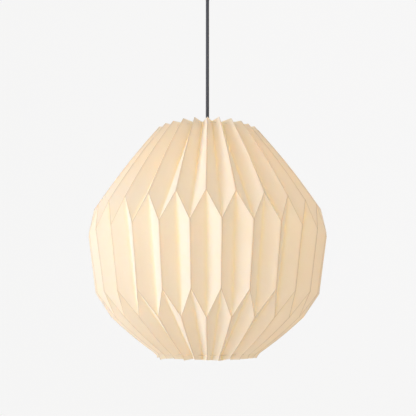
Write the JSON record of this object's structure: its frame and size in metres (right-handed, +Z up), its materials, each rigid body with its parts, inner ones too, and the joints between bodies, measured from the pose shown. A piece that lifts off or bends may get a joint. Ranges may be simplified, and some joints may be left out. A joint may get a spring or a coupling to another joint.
{
  "type": "pendant lantern",
  "caption": "Pleated paper pendant lantern: folded shade resting on a wire carrier, lampholder and bulb, hung on a taut cord from a ceiling cup.",
  "frame": {"origin": "centre of the ceiling bracket's top face, where it lies against the ceiling", "axes": "+Z up through the cord, -Y towards the viewer, +X to the viewer's right"},
  "size_m": [0.3982, 0.3982, 0.73],
  "materials": {
    "shade_paper": "matt, warm ivory, translucent",
    "thread": "waxed linen thread",
    "cord_cover": "braided textile, dark slate",
    "sleeve_rubber": "matt, ribbed",
    "cup_enamel": "satin powder coat",
    "steel": "zinc plated",
    "screw_steel": "zinc plated",
    "grip_nylon": "moulded nylon",
    "terminal_plastic": "moulded",
    "live_insulation": "brown insulation",
    "neutral_insulation": "blue insulation",
    "brass": "plain",
    "holder_plastic": "white thermoplastic",
    "porcelain": "steatite",
    "carrier_plastic": "white powder coat",
    "carrier_wire": "white powder coat",
    "bulb_cap_metal": "nickel plated",
    "bulb_insulator": "black",
    "bulb_solder": "soft solder",
    "bulb_plastic": "white thermoplastic",
    "bulb_opal": "opal diffuser",
    "led_board_metal": "satin",
    "led_phosphor": "phosphor",
    "circuit_board": "solder mask"
  },
  "bodies": {
    "ceiling_cup": {"bracket": "steel", "canopy": "cup_enamel", "canopy_screws": "screw_steel", "terminal_block": "terminal_plastic", "terminal_screws": "brass", "canopy_grip": "grip_nylon", "canopy_grip_nut": "screw_steel", "canopy_grip_screw": "grip_nylon", "cord_tail": "cord_cover", "live_core": "live_insulation", "neutral_core": "neutral_insulation"},
    "bend_sleeve": {"bend_sleeve": "sleeve_rubber", "cord_in_sleeve": "cord_cover"},
    "cord": {"cord": "cord_cover"},
    "lampholder": {"holder_grip": "grip_nylon", "holder_grip_screw": "grip_nylon", "holder_cap": "holder_plastic", "holder_skirt": "holder_plastic", "holder_insert": "porcelain", "centre_contact": "brass", "side_contact": "brass", "contact_screws": "brass", "holder_live_core": "live_insulation", "holder_neutral_core": "neutral_insulation", "retaining_ring": "holder_plastic", "carrier_hub": "carrier_plastic", "carrier_spokes": "carrier_wire", "carrier_rim": "carrier_wire"},
    "bulb": {"bulb_cap": "bulb_cap_metal", "bulb_insulator": "bulb_insulator", "bulb_contact": "bulb_solder", "bulb_housing": "bulb_plastic", "bulb_diffuser": "bulb_opal", "led_board": "led_board_metal", "led_chips": "led_phosphor", "driver_board": "circuit_board"},
    "shade": {"shade_front": "shade_paper", "shade_back": "shade_paper", "seam_strips": "shade_paper", "top_thread": "thread", "bottom_thread": "thread", "top_knot": "thread", "bottom_knot": "thread"}
  },
  "joints": [
    {"name": "swing_front", "type": "hinge", "parent": "ceiling_cup", "child": "bend_sleeve", "pos_m": [0, 0, -0.069], "axis": [1, 0, 0], "range_deg": [-20, 20]},
    {"name": "swing_side", "type": "hinge", "parent": "bend_sleeve", "child": "cord", "pos_m": [0, 0, -0.093], "axis": [0, 1, 0], "range_deg": [-20, 20]},
    {"name": "lamp_turn", "type": "hinge", "parent": "cord", "child": "lampholder", "pos_m": [0, 0, -0.335], "axis": [0, 0, 1], "range_deg": [-90, 90], "stiffness_Nm_per_rad": 0.01},
    {"name": "bulb_out", "type": "slide", "parent": "lampholder", "child": "bulb", "axis": [0, 0, 1], "range_m": [-0.3, 0]},
    {"name": "shade_lift", "type": "slide", "parent": "lampholder", "child": "shade", "axis": [0, 0, 1], "range_m": [0, 0.2]}
  ]
}
